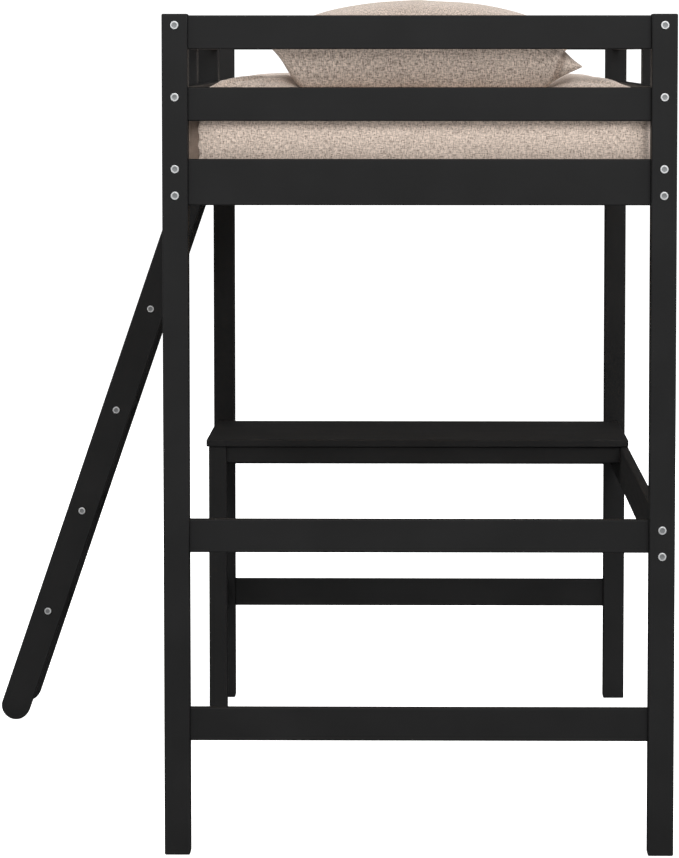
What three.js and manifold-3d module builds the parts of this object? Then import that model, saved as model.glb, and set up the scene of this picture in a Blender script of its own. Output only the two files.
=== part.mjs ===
// Twin loft bed: four posts, guard rails, a slatted deck with mattress and pillow,
// a desk under the far end, and a leaning ladder that hooks over the left side rail.
// Millimetres, +Z up, +Y towards the desk end, +X to the right.

import * as THREE from 'three';
import { mergeVertices } from 'three/addons/utils/BufferGeometryUtils.js';
import Module from 'manifold-3d';

const wasm = await Module();
wasm.setup();

// ---------------------------------------------------------------- driving dimensions

const GAP = 0.3; // clearance between pieces that touch
const EASE = 2; // chamfer along the edges of every board

const BED_WIDTH = 1067; // X, over the posts
const BED_LENGTH = 1981; // Y, over the posts
const POST_SIZE = 53.5;
const POST_RISE = 3; // post top above the top rail

const RAIL_THICKNESS = 20;
const GUARD_RAIL_HEIGHT = 70;
const GUARD_RAIL_SPACE = 78.75; // open height between guard rails
const BED_RAIL_HEIGHT = 96;
const BED_RAIL_TOP = 1460;
const BOTTOM_RAIL_BASE = 240;
const TENON_LENGTH = 20;
const TENON_THICKNESS = 12;
const TENON_SHOULDER = 10; // above and below the tenon

const STILE_WIDTH = 57; // upright on the outside of the guard rails
const LADDER_OPENING = 365; // from the guard post to the far post

const LEDGER_HEIGHT = 19;
const LEDGER_RISE = 2; // ledger above the side rail's lower edge
const SLAT_COUNT = 12;
const SLAT_WIDTH = 70;
const SLAT_THICKNESS = 15;
const SLAT_END_CLEARANCE = 1;

const MATTRESS_THICKNESS = 212;
const MATTRESS_SIDE_CLEARANCE = 11.75;
const MATTRESS_END_CLEARANCE = 4.25;
const MATTRESS_CORNER = 60;
const MATTRESS_EDGE = 28;

const PILLOW_WIDTH = 674;
const PILLOW_DEPTH = 440;
const PILLOW_HEIGHT = 176;
const PILLOW_SHIFT = 13; // right of the bed's middle
const PILLOW_END_CLEARANCE = 8; // behind the near end rails

const DESK_HEIGHT = 726;
const DESK_THICKNESS = 18;
const DESK_DEPTH = 475;
const DESK_EDGE_INSET = 7; // desk's left edge inside the posts' outer face
const DESK_OVERHANG = 5.5; // desk top past its leg
const DESK_LEG_SIZE = 44;
const DESK_RAIL_HEIGHT = 96;
const APRON_HEIGHT = 40;
const APRON_SETBACK = 13; // apron behind the desk top's front edge
const CLEAT_HEIGHT = 20;
const CLEAT_REACH = 28; // cleat forward of the desk top's back edge

const LADDER_WIDTH = 298;
const LADDER_LEAN = THREE.MathUtils.degToRad(18.95); // from upright
const STRINGER_WIDTH = 72;
const STRINGER_THICKNESS = 22;
const STRINGER_HEEL_RISE = 8; // end of the upright cut above the side rail's lower edge
const FIRST_TREAD_HEIGHT = 276;
const TREAD_PITCH = 254.5;
const TREAD_DEPTH = 66;
const TREAD_THICKNESS = 20;
const DADO_DEPTH = 6;
const HOOK_THICKNESS = 4;
const HOOK_DROP = 35; // hook's tongue below the side rail's top edge
const HOOK_BEND = 3; // inner bend radius

// ---------------------------------------------------------------- derived planes

const halfWidth = BED_WIDTH / 2;
const halfLength = BED_LENGTH / 2;
const postCentreX = halfWidth - POST_SIZE / 2;
const postCentreY = halfLength - POST_SIZE / 2;
const postInnerX = halfWidth - POST_SIZE;
const postInnerY = halfLength - POST_SIZE;
const railInnerX = postCentreX - RAIL_THICKNESS / 2;
const railOuterX = postCentreX + RAIL_THICKNESS / 2;
const railInnerY = postCentreY - RAIL_THICKNESS / 2;
const sideRailEnd = postInnerY - GAP;

const bedRailBase = BED_RAIL_TOP - BED_RAIL_HEIGHT;
const midGuardBase = BED_RAIL_TOP + GUARD_RAIL_SPACE;
const topGuardBase = midGuardBase + GUARD_RAIL_HEIGHT + GUARD_RAIL_SPACE;
const guardTop = topGuardBase + GUARD_RAIL_HEIGHT;
const postHeight = guardTop + POST_RISE;

const ledgerBase = bedRailBase + LEDGER_RISE;
const slatBase = ledgerBase + LEDGER_HEIGHT + GAP;
const mattressBase = slatBase + SLAT_THICKNESS + GAP;
const pillowBase = mattressBase + MATTRESS_THICKNESS + GAP;

const deskUnderside = DESK_HEIGHT - DESK_THICKNESS;
const deskRailTop = deskUnderside - GAP;
const deskRailBase = deskRailTop - DESK_RAIL_HEIGHT;
const deskFrontY = postInnerY - GAP - DESK_DEPTH;
const deskLeftX = -(halfWidth - DESK_EDGE_INSET);
const legLeftX = deskLeftX + DESK_OVERHANG;
const legRightX = legLeftX + DESK_LEG_SIZE;
const legFrontY = deskFrontY + DESK_OVERHANG;
const legBackY = legFrontY + DESK_LEG_SIZE;

const guardPostBackY = postInnerY - LADDER_OPENING;
const guardPostFrontY = guardPostBackY - POST_SIZE;

const ladderCentreY = postInnerY - LADDER_OPENING / 2;
const hookBackX = -(railOuterX + GAP + HOOK_THICKNESS); // outer face of the hook's back plate
const stringerCutX = hookBackX - GAP;
const stringerHeelZ = bedRailBase + STRINGER_HEEL_RISE;
const stringerRadius = STRINGER_WIDTH / 2;
const leanSlope = Math.tan(LADDER_LEAN);
const levelHalfWidth = stringerRadius / Math.cos(LADDER_LEAN); // half the stringer, measured level
const ladderReachX = ladderX(stringerRadius) - stringerRadius;

// X of the ladder's centreline at a height.
function ladderX(height) {
  return stringerCutX - levelHalfWidth - (stringerHeelZ - height) * leanSlope;
}

// ---------------------------------------------------------------- materials

function finish(name, color, roughness, metalness = 0) {
  return new THREE.MeshStandardMaterial({ name, color, roughness, metalness });
}

const blackPaint = finish('black_paint', 0x1b1b1d, 0.45);
const pine = finish('pine', 0xc9a878, 0.65);
const zincSteel = finish('zinc_steel', 0xb9bcc0, 0.35, 1);
const mattressCloth = finish('mattress_cloth', 0xc4b2a5, 0.9);
const pillowCloth = finish('pillow_cloth', 0xbcaa9d, 0.9);

// ---------------------------------------------------------------- solids

// Joins the vertices of a closed geometry and hands it to manifold-3d.
function toSolid(geometry) {
  geometry.deleteAttribute('normal');
  geometry.deleteAttribute('uv');
  const merged = mergeVertices(geometry, 1e-4);
  const mesh = new wasm.Mesh({
    numProp: 3,
    vertProperties: new Float32Array(merged.attributes.position.array),
    triVerts: new Uint32Array(merged.index.array),
  });
  return new wasm.Manifold(mesh);
}

function toGeometry(solid) {
  const mesh = solid.getMesh();
  const geometry = new THREE.BufferGeometry();
  geometry.setAttribute('position', new THREE.BufferAttribute(mesh.vertProperties, 3));
  geometry.setIndex(new THREE.BufferAttribute(mesh.triVerts, 1));
  geometry.computeVertexNormals();
  return geometry;
}

function joined(first, others) {
  return toGeometry(others.reduce((solid, other) => solid.add(toSolid(other)), toSolid(first)));
}

function cutBy(first, others) {
  return toGeometry(others.reduce((solid, other) => solid.subtract(toSolid(other)), toSolid(first)));
}

// A plain box that fills three [low, high] spans.
function block(x, y, z) {
  const geometry = new THREE.BoxGeometry(x[1] - x[0], y[1] - y[0], z[1] - z[0]);
  return geometry.translate((x[0] + x[1]) / 2, (y[0] + y[1]) / 2, (z[0] + z[1]) / 2);
}

// A rectangle about the origin with its corners cut off.
function easedRectangle(width, height) {
  const x = width / 2;
  const y = height / 2;
  const outline = [
    [x, y - EASE], [x - EASE, y], [EASE - x, y], [-x, y - EASE],
    [-x, EASE - y], [EASE - x, -y], [x - EASE, -y], [x, EASE - y],
  ];
  return new THREE.Shape(outline.map(([px, py]) => new THREE.Vector2(px, py)));
}

// A board with eased edges that fills three [low, high] spans; its grain runs along one axis.
// Ends that butt against another piece stay square.
function board(x, y, z, grain, easedEnds = false) {
  const spans = { x: [z, y, x], y: [x, z, y], z: [x, y, z] }[grain];
  const [across, up, length] = spans.map(([low, high]) => high - low);
  const ends = easedEnds ? EASE : 0;
  const geometry = new THREE.ExtrudeGeometry(easedRectangle(across, up), {
    depth: length - 2 * ends,
    bevelEnabled: easedEnds,
    bevelThickness: EASE,
    bevelSize: EASE,
    bevelOffset: -EASE,
    bevelSegments: 1,
  });
  geometry.translate(0, 0, ends - length / 2);
  if (grain === 'x') geometry.rotateY(Math.PI / 2);
  if (grain === 'y') geometry.rotateX(-Math.PI / 2);
  return geometry.translate((x[0] + x[1]) / 2, (y[0] + y[1]) / 2, (z[0] + z[1]) / 2);
}

// ---------------------------------------------------------------- assembly

const bed = new THREE.Group();
const rightReachX = Math.max(halfWidth, railOuterX + GAP + RAIL_THICKNESS); // post or guard stile
bed.position.x = (-ladderReachX - rightReachX) / 2; // origin under the middle of the footprint

function add(name, geometry, material) {
  const mesh = new THREE.Mesh(geometry, material);
  mesh.name = name;
  bed.add(mesh);
}

// ---------------------------------------------------------------- end frames

// The rails of the two end frames: name, lower edge and height.
const sharedEndRails = [
  ['top_rail', topGuardBase, GUARD_RAIL_HEIGHT],
  ['guard_rail', midGuardBase, GUARD_RAIL_HEIGHT],
  ['bed_rail', bedRailBase, BED_RAIL_HEIGHT],
  ['bottom_rail', BOTTOM_RAIL_BASE, GUARD_RAIL_HEIGHT],
];
const nearLowRail = ['low_rail', deskRailTop - GUARD_RAIL_HEIGHT, GUARD_RAIL_HEIGHT];
const farDeskRail = ['desk_rail', deskRailBase, DESK_RAIL_HEIGHT];
const endFrames = [
  { end: 'near', side: -1, rails: [...sharedEndRails, nearLowRail] },
  { end: 'far', side: 1, rails: [...sharedEndRails, farDeskRail] },
];

// Height span of a rail's tenon, grown by a clearance.
function tenonSpan(base, height, clearance) {
  return [base + TENON_SHOULDER - clearance, base + height - TENON_SHOULDER + clearance];
}

function centredSpan(centre, size) {
  return [centre - size / 2, centre + size / 2];
}

function endPost(xSide, ySide, rails) {
  const x = centredSpan(xSide * postCentreX, POST_SIZE);
  const y = centredSpan(ySide * postCentreY, POST_SIZE);
  const mortiseX = [postInnerX - 1, postInnerX + TENON_LENGTH + GAP].map((value) => xSide * value);
  const mortiseY = centredSpan(ySide * postCentreY, TENON_THICKNESS + 2 * GAP);
  mortiseX.sort((a, b) => a - b);
  const mortises = rails.map(([, base, height]) => {
    return block(mortiseX, mortiseY, tenonSpan(base, height, GAP));
  });
  return cutBy(board(x, y, [0, postHeight], 'z', true), mortises);
}

function endRail(ySide, base, height) {
  const shoulderX = postInnerX - GAP;
  const tenonX = postInnerX + TENON_LENGTH;
  const y = centredSpan(ySide * postCentreY, RAIL_THICKNESS);
  const tenonY = centredSpan(ySide * postCentreY, TENON_THICKNESS);
  const tongue = block([-tenonX, tenonX], tenonY, tenonSpan(base, height, 0));
  return joined(board([-shoulderX, shoulderX], y, [base, base + height], 'x'), [tongue]);
}

for (const { end, side, rails } of endFrames) {
  add(`post_${end}_left`, endPost(-1, side, rails), blackPaint);
  add(`post_${end}_right`, endPost(1, side, rails), blackPaint);
  for (const [name, base, height] of rails) {
    add(`${end}_${name}`, endRail(side, base, height), blackPaint);
  }
}

// ---------------------------------------------------------------- side rails and guards

// A board in the plane of the side rails, between two Y values.
function sideBoard(xSide, y, z) {
  return board(centredSpan(xSide * postCentreX, RAIL_THICKNESS), y, z, 'y');
}

// X span of a strip fixed to one face of a side rail: +1 outside, -1 inside.
function stripSpan(xSide, face) {
  const start = postCentreX + face * (RAIL_THICKNESS / 2 + GAP);
  return [start, start + face * RAIL_THICKNESS].map((value) => xSide * value).sort((a, b) => a - b);
}

const fullSpan = [-sideRailEnd, sideRailEnd];
const sides = [
  { name: 'left', side: -1, guardSpan: [-sideRailEnd, guardPostFrontY - GAP] },
  { name: 'right', side: 1, guardSpan: fullSpan },
];

for (const { name, side, guardSpan } of sides) {
  const midZ = [midGuardBase, midGuardBase + GUARD_RAIL_HEIGHT];
  const stileY = centredSpan(0, STILE_WIDTH);
  const ledgerZ = [ledgerBase, ledgerBase + LEDGER_HEIGHT];
  add(`${name}_bed_rail`, sideBoard(side, fullSpan, [bedRailBase, BED_RAIL_TOP]), blackPaint);
  add(`${name}_top_guard_rail`, sideBoard(side, guardSpan, [topGuardBase, guardTop]), blackPaint);
  add(`${name}_mid_guard_rail`, sideBoard(side, guardSpan, midZ), blackPaint);
  add(`${name}_guard_stile`,
    board(stripSpan(side, 1), stileY, [bedRailBase, guardTop], 'z', true), blackPaint);
  add(`${name}_ledger`, board(stripSpan(side, -1), fullSpan, ledgerZ, 'y'), pine);
}

// The short post beside the ladder laps over the outside of the left side rail.
function ladderGuardPost() {
  const x = [-railInnerX - POST_SIZE, -railInnerX];
  const y = [guardPostFrontY, guardPostBackY];
  const rebate = block(
    [-railOuterX - GAP, -railInnerX + 1],
    [guardPostFrontY - 1, guardPostBackY + 1],
    [bedRailBase - 1, BED_RAIL_TOP + GAP],
  );
  return cutBy(board(x, y, [bedRailBase, guardTop], 'z', true), [rebate]);
}

add('ladder_guard_post', ladderGuardPost(), blackPaint);
add('right_brace_rail', sideBoard(1, fullSpan, [deskRailBase, deskRailTop]), blackPaint);

// ---------------------------------------------------------------- slatted deck

const slatX = [SLAT_END_CLEARANCE - railInnerX, railInnerX - SLAT_END_CLEARANCE];
const slatPitch = (2 * railInnerY) / SLAT_COUNT;

for (let index = 0; index < SLAT_COUNT; index += 1) {
  const y = centredSpan((index + 0.5) * slatPitch - railInnerY, SLAT_WIDTH);
  const name = `slat_${String(index + 1).padStart(2, '0')}`;
  add(name, board(slatX, y, [slatBase, slatBase + SLAT_THICKNESS], 'x'), pine);
}

// ---------------------------------------------------------------- desk

const railSpanX = [-railOuterX, -railInnerX];
const deskX = [deskLeftX, railOuterX];
const deskY = [deskFrontY, deskFrontY + DESK_DEPTH];
const legX = [legLeftX, legRightX];
const legY = [legFrontY, legBackY];
const sideY = [legBackY + GAP, sideRailEnd];
const apronX = [legRightX + GAP, railInnerX - GAP];
const apronY = [deskFrontY + APRON_SETBACK, deskFrontY + APRON_SETBACK + RAIL_THICKNESS];
const apronZ = [deskRailTop - APRON_HEIGHT, deskRailTop];
const cleatX = [TENON_SHOULDER - postInnerX, postInnerX - TENON_SHOULDER];
const cleatY = [postInnerY - CLEAT_REACH, railInnerY - GAP];
const cleatZ = [deskRailTop - CLEAT_HEIGHT, deskRailTop];
const stretcherZ = [BOTTOM_RAIL_BASE, BOTTOM_RAIL_BASE + GUARD_RAIL_HEIGHT];

add('desk_top', board(deskX, deskY, [deskUnderside, DESK_HEIGHT], 'x', true), blackPaint);
add('desk_leg', board(legX, legY, [0, deskRailTop], 'z', true), blackPaint);
add('desk_apron', board(apronX, apronY, apronZ, 'x'), blackPaint);
add('desk_side_rail', board(railSpanX, sideY, [deskRailBase, deskRailTop], 'y'), blackPaint);
add('desk_side_stretcher', board(railSpanX, sideY, stretcherZ, 'y'), blackPaint);
add('desk_back_cleat', board(cleatX, cleatY, cleatZ, 'x'), blackPaint);

// ---------------------------------------------------------------- ladder

const treadCount = 1 + Math.floor((stringerHeelZ - stringerRadius - FIRST_TREAD_HEIGHT) / TREAD_PITCH);
const treadHeights = Array.from({ length: treadCount }, (_, index) => {
  return FIRST_TREAD_HEIGHT + index * TREAD_PITCH;
});
const innerHalf = LADDER_WIDTH / 2 - STRINGER_THICKNESS;

// Side view of a stringer: round foot, two leaning edges, an upright cut against the rail, level top.
function stringerOutline() {
  const footX = ladderX(stringerRadius);
  const outline = new THREE.Shape();
  outline.absarc(footX, stringerRadius, stringerRadius, Math.PI - LADDER_LEAN, 2 * Math.PI - LADDER_LEAN);
  outline.lineTo(stringerCutX, stringerHeelZ);
  outline.lineTo(stringerCutX, BED_RAIL_TOP);
  outline.lineTo(ladderX(BED_RAIL_TOP) - levelHalfWidth, BED_RAIL_TOP);
  return outline;
}

// A side view in X and Z pushed along Y over a span.
function pushAlongY(outline, y, ease, curveSegments) {
  const geometry = new THREE.ExtrudeGeometry(outline, {
    depth: y[1] - y[0] - 2 * ease,
    curveSegments,
    bevelEnabled: ease > 0,
    bevelThickness: ease,
    bevelSize: ease,
    bevelOffset: -ease,
    bevelSegments: 1,
  });
  return geometry.rotateX(Math.PI / 2).translate(0, y[1] - ease, 0);
}

function treadBlock(height, y, clearance) {
  const x = centredSpan(ladderX(height), TREAD_DEPTH + 2 * clearance);
  return block(x, y, centredSpan(height, TREAD_THICKNESS + 2 * clearance));
}

// Each stringer is housed for the treads on its inner face.
function stringer(side) {
  const centre = ladderCentreY + side * (innerHalf + STRINGER_THICKNESS / 2);
  const inner = ladderCentreY + side * (innerHalf - 1);
  const floor = ladderCentreY + side * (innerHalf + DADO_DEPTH);
  const housingY = [inner, floor].sort((a, b) => a - b);
  const blank = pushAlongY(stringerOutline(), centredSpan(centre, STRINGER_THICKNESS), EASE, 20);
  return cutBy(blank, treadHeights.map((height) => treadBlock(height, housingY, GAP)));
}

function tread(height) {
  const x = centredSpan(ladderX(height), TREAD_DEPTH);
  const y = centredSpan(ladderCentreY, 2 * (innerHalf + DADO_DEPTH - GAP));
  return board(x, y, centredSpan(height, TREAD_THICKNESS), 'y');
}

// A bent strap: down the back of the rail, over its top edge and a short way down the inside.
function hookOutline() {
  const inside = [-railOuterX - GAP, -railInnerX + GAP];
  const outside = [inside[0] - HOOK_THICKNESS, inside[1] + HOOK_THICKNESS];
  const ceiling = BED_RAIL_TOP + GAP;
  const roundOver = HOOK_BEND + HOOK_THICKNESS;
  const bendZ = ceiling - HOOK_BEND;
  const outline = new THREE.Shape();
  outline.moveTo(outside[0], stringerHeelZ);
  outline.lineTo(inside[0], stringerHeelZ);
  outline.absarc(inside[0] + HOOK_BEND, bendZ, HOOK_BEND, Math.PI, Math.PI / 2, true);
  outline.absarc(inside[1] - HOOK_BEND, bendZ, HOOK_BEND, Math.PI / 2, 0, true);
  outline.lineTo(inside[1], BED_RAIL_TOP - HOOK_DROP);
  outline.lineTo(outside[1], BED_RAIL_TOP - HOOK_DROP);
  outline.absarc(outside[1] - roundOver, bendZ, roundOver, 0, Math.PI / 2);
  outline.absarc(outside[0] + roundOver, bendZ, roundOver, Math.PI / 2, Math.PI);
  return outline;
}

for (const [end, side] of [['near', -1], ['far', 1]]) {
  const hookY = centredSpan(ladderCentreY + side * (innerHalf + STRINGER_THICKNESS / 2), STRINGER_THICKNESS);
  add(`ladder_stringer_${end}`, stringer(side), blackPaint);
  add(`ladder_hook_${end}`, pushAlongY(hookOutline(), hookY, 0, 4), zincSteel);
}
treadHeights.forEach((height, index) => add(`ladder_tread_${index + 1}`, tread(height), blackPaint));

// ---------------------------------------------------------------- bedding

// A mattress with rounded corners and edges.
function mattress() {
  const x = railInnerX - MATTRESS_SIDE_CLEARANCE;
  const y = railInnerY - MATTRESS_END_CLEARANCE;
  const radius = MATTRESS_CORNER;
  const outline = new THREE.Shape();
  outline.absarc(x - radius, y - radius, radius, 0, Math.PI / 2);
  outline.absarc(radius - x, y - radius, radius, Math.PI / 2, Math.PI);
  outline.absarc(radius - x, radius - y, radius, Math.PI, 1.5 * Math.PI);
  outline.absarc(x - radius, radius - y, radius, 1.5 * Math.PI, 2 * Math.PI);
  const geometry = new THREE.ExtrudeGeometry(outline, {
    depth: MATTRESS_THICKNESS - 2 * MATTRESS_EDGE,
    curveSegments: 6,
    bevelThickness: MATTRESS_EDGE,
    bevelSize: MATTRESS_EDGE,
    bevelOffset: -MATTRESS_EDGE,
    bevelSegments: 3,
  });
  return geometry.translate(0, 0, mattressBase + MATTRESS_EDGE);
}

// A sphere pressed into a soft rectangle.
function pillow() {
  const geometry = new THREE.SphereGeometry(1, 32, 16);
  const points = geometry.attributes.position;
  const squared = (value, power) => Math.sign(value) * Math.abs(value) ** power;
  for (let index = 0; index < points.count; index += 1) {
    const level = Math.hypot(points.getX(index), points.getZ(index));
    const spread = level ** 0.6;
    const turnX = level > 1e-6 ? squared(points.getX(index) / level, 0.55) : 0;
    const turnY = level > 1e-6 ? squared(-points.getZ(index) / level, 0.55) : 0;
    points.setXYZ(
      index,
      turnX * spread * (PILLOW_WIDTH / 2),
      turnY * spread * (PILLOW_DEPTH / 2),
      squared(points.getY(index), 0.85) * (PILLOW_HEIGHT / 2),
    );
  }
  const nearEdge = -railInnerY + PILLOW_END_CLEARANCE;
  return geometry.translate(PILLOW_SHIFT, nearEdge + PILLOW_DEPTH / 2, pillowBase + PILLOW_HEIGHT / 2);
}

add('mattress', mattress(), mattressCloth);
add('pillow', pillow(), pillowCloth);

export default bed;
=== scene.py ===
"""Loft bed with a desk and a leaning ladder: finishes, hardware, bedding and stage."""

import math

import bmesh
import bpy
from bpy.props import FloatProperty, FloatVectorProperty, PointerProperty
from mathutils import Matrix, Vector, noise


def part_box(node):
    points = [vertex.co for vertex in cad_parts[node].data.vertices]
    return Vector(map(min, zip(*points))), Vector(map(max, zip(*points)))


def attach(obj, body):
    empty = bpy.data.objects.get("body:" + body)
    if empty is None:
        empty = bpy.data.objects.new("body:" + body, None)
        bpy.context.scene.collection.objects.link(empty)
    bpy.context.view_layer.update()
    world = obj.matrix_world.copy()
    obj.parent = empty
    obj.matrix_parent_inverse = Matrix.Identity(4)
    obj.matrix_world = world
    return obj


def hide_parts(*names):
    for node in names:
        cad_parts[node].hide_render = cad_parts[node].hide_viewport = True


bl_info = {
    "name": "Loft Bed",
    "version": (1, 0, 0),
    "blender": (4, 5, 0),
    "location": "View3D > Sidebar > Loft Bed",
    "description": "Finishes the loft bed's frame and makes its hardware, bedding and stage",
    "category": "Object",
}

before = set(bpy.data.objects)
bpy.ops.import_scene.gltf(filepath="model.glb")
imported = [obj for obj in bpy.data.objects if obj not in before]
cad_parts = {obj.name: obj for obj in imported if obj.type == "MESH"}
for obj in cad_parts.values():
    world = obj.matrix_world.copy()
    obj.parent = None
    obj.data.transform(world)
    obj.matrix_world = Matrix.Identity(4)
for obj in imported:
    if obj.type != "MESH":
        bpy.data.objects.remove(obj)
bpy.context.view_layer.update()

MM = 0.001
X, Y = Vector((1, 0, 0)), Vector((0, 1, 0))
POSTS = ["post_near_left", "post_near_right", "post_far_left", "post_far_right"]
LADDER_LEAN = math.radians(18.95)
PINE_NODES = [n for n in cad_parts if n.startswith("slat_") or n.endswith("_ledger")]
STEEL_NODES = [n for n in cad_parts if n.startswith("ladder_hook")]
SOFT_NODES = ["mattress", "pillow"]


# ------------------------------------------------------------------ properties

class PaintSettings(bpy.types.PropertyGroup):
    """The frame's painted finish."""

    color: FloatVectorProperty(
        name="Paint", description="Colour of the satin paint", subtype="COLOR",
        size=3, min=0, max=1, default=(0.0122, 0.0122, 0.0124))
    roughness: FloatProperty(
        name="Roughness", description="Mean roughness of the paint film", default=0.53, min=0, max=1)
    edge: FloatProperty(
        name="Edge radius", description="Rounding along the boards' edges", unit="LENGTH",
        subtype="DISTANCE", default=0.7 * MM, min=0)


class HardwareSettings(bpy.types.PropertyGroup):
    """Bolts and screws."""

    bolt_head: FloatProperty(
        name="Bolt head", description="Diameter of a connector bolt's flat head", unit="LENGTH",
        subtype="DISTANCE", default=17.2 * MM, min=0)
    screw_head: FloatProperty(
        name="Screw head", description="Diameter of a screw's head", unit="LENGTH",
        subtype="DISTANCE", default=9 * MM, min=0)
    edge_distance: FloatProperty(
        name="Edge distance", description="Bolt centre to the board's edge", unit="LENGTH",
        subtype="DISTANCE", default=20.5 * MM, min=0)


class BeddingSettings(bpy.types.PropertyGroup):
    """Mattress cover and pillow."""

    linen: FloatVectorProperty(
        name="Linen", description="Light thread of the linen cover", subtype="COLOR",
        size=3, min=0, max=1, default=(0.80, 0.662, 0.565))
    linen_dark: FloatVectorProperty(
        name="Dark thread", description="Dark thread of the linen cover", subtype="COLOR",
        size=3, min=0, max=1, default=(0.085, 0.060, 0.044))
    crown: FloatProperty(
        name="Crown", description="Rise of the mattress's middle over its rim", unit="LENGTH",
        subtype="DISTANCE", default=15 * MM, min=0)


class StageSettings(bpy.types.PropertyGroup):
    """Camera and light."""

    distance: FloatProperty(
        name="Distance", description="Camera to the near end of the bed", unit="LENGTH",
        subtype="DISTANCE", default=7.7558, min=0.1)
    height: FloatProperty(
        name="Height", description="Camera above the floor", unit="LENGTH",
        subtype="DISTANCE", default=1.6823, min=0)
    lens: FloatProperty(
        name="Lens", description="Focal length for a 36 mm sensor", default=157.14, min=1)
    tilt: FloatProperty(
        name="Tilt", description="Camera's tilt below the horizon", subtype="ANGLE",
        default=math.radians(4.19))
    turn: FloatProperty(
        name="Turn", description="Camera's turn to the left of the bed's length", subtype="ANGLE",
        default=math.radians(0.708))
    key: FloatProperty(
        name="Key light", description="Power of the large front light in watts", default=600.0, min=0)


# ------------------------------------------------------------------ node helpers

class Net:
    """Adds and links the nodes of one tree."""

    def __init__(self, tree):
        self.tree = tree

    def add(self, kind, inputs=None, **settings):
        node = self.tree.nodes.new("ShaderNode" + kind)
        for name, value in settings.items():
            setattr(node, name, value)
        for name, value in (inputs or {}).items():
            self.put(value, node.inputs[name])
        return node

    def put(self, value, socket):
        if isinstance(value, bpy.types.NodeSocket):
            self.tree.links.new(value, socket)
        else:
            socket.default_value = value

    def math(self, operation, first, second=0.0, clamp=False):
        node = self.add("Math", {0: first, 1: second}, operation=operation, use_clamp=clamp)
        return node.outputs[0]

    def remap(self, value, given, wanted):
        """Carries a value from one range, (low, high), to another."""
        node = self.add("MapRange", {"Value": value, "From Min": given[0], "From Max": given[1],
                                     "To Min": wanted[0], "To Max": wanted[1]})
        return node.outputs["Result"]

    def mix(self, factor, first, second):
        node = self.add("Mix", data_type="RGBA")
        self.put(factor, node.inputs[0])
        self.put(first, node.inputs[6])
        self.put(second, node.inputs[7])
        return node.outputs[2]

    def noise(self, vector, scale, detail=3.0, roughness=0.5):
        node = self.add("TexNoise", {"Vector": vector, "Scale": scale, "Detail": detail,
                                     "Roughness": roughness})
        return node.outputs["Fac"]

    def stretched(self, vector, scale):
        node = self.add("Mapping", {"Vector": vector, "Scale": scale})
        return node.outputs["Vector"]


def node_group(name, inputs, outputs):
    """A new shader node group and its input and output nodes; sockets are (name, kind, default)."""
    tree = bpy.data.node_groups.new(name, "ShaderNodeTree")
    for socket_name, kind, default in inputs:
        socket = tree.interface.new_socket(socket_name, in_out="INPUT", socket_type="NodeSocket" + kind)
        if default is not None:
            socket.default_value = default
    for socket_name, kind in outputs:
        tree.interface.new_socket(socket_name, in_out="OUTPUT", socket_type="NodeSocket" + kind)
    return tree, tree.nodes.new("NodeGroupInput").outputs, tree.nodes.new("NodeGroupOutput").inputs


def new_material(name, **plain):
    """A material with its Principled BSDF's plain values set; returns it, its net and the shader."""
    material = bpy.data.materials.new(name)
    material.use_nodes = True
    net = Net(material.node_tree)
    shader = material.node_tree.nodes["Principled BSDF"]
    for socket, value in plain.items():
        shader.inputs[socket.replace("_", " ")].default_value = value
    return material, net, shader


def object_coordinates(net):
    return net.add("TexCoord").outputs["Object"]


def use_group(net, tree, inputs):
    node = net.tree.nodes.new("ShaderNodeGroup")
    node.node_tree = tree
    for name, value in inputs.items():
        net.put(value, node.inputs[name])
    return node.outputs


# ------------------------------------------------------------------ shared effects

PAINT_BLOOM = (0.09, 0.09, 0.092, 1)
PINE_WARM = (0.66, 0.47, 0.29, 1)
PINE_PALE = (0.76, 0.58, 0.38, 1)
PINE_LINE = (0.45, 0.27, 0.14, 1)
FULL_TURN = 6.283
# The linen's slubs and flecks, in features per metre along the two ways of the cloth map.
WEFT_SLUBS = (100, 400, 1)
WARP_SLUBS = (400, 100, 1)
FLECKS = (330, 330, 1)


def paint_film_group():
    """Satin paint over closed-grain wood: faint ridges along the grain, brush mottling, fine dust nibs."""
    tree, given, out = node_group(
        "paint_film",
        [("Grain Vector", "Vector", None), ("Vector", "Vector", None), ("Color", "Color", None),
         ("Roughness", "Float", 0.42), ("Ridge", "Float", 0.25)],
        [("Color", "Color"), ("Roughness", "Float"), ("Normal", "Vector")])
    net = Net(tree)
    ridges = net.noise(given["Grain Vector"], scale=1.0, detail=5.0, roughness=0.62)
    mottle = net.noise(given["Vector"], scale=7.0, detail=2.0)
    nibs = net.noise(given["Vector"], scale=900.0, detail=1.0)
    lighter = net.mix(0.025, given["Color"], PAINT_BLOOM)
    patches = net.remap(mottle, (0.35, 0.65), (0.0, 1.0))
    net.put(net.mix(patches, given["Color"], lighter), out["Color"])
    worn = net.math("ADD", given["Roughness"], net.remap(mottle, (0.3, 0.7), (-0.02, 0.02)))
    net.put(net.math("ADD", worn, net.remap(ridges, (0.3, 0.7), (-0.03, 0.03))), out["Roughness"])
    height = net.math("ADD", ridges, net.math("MULTIPLY", nibs, 0.12))
    bump = net.add("Bump", {"Strength": given["Ridge"], "Distance": 0.35 * MM, "Height": height})
    net.put(bump.outputs["Normal"], out["Normal"])
    return tree


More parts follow.
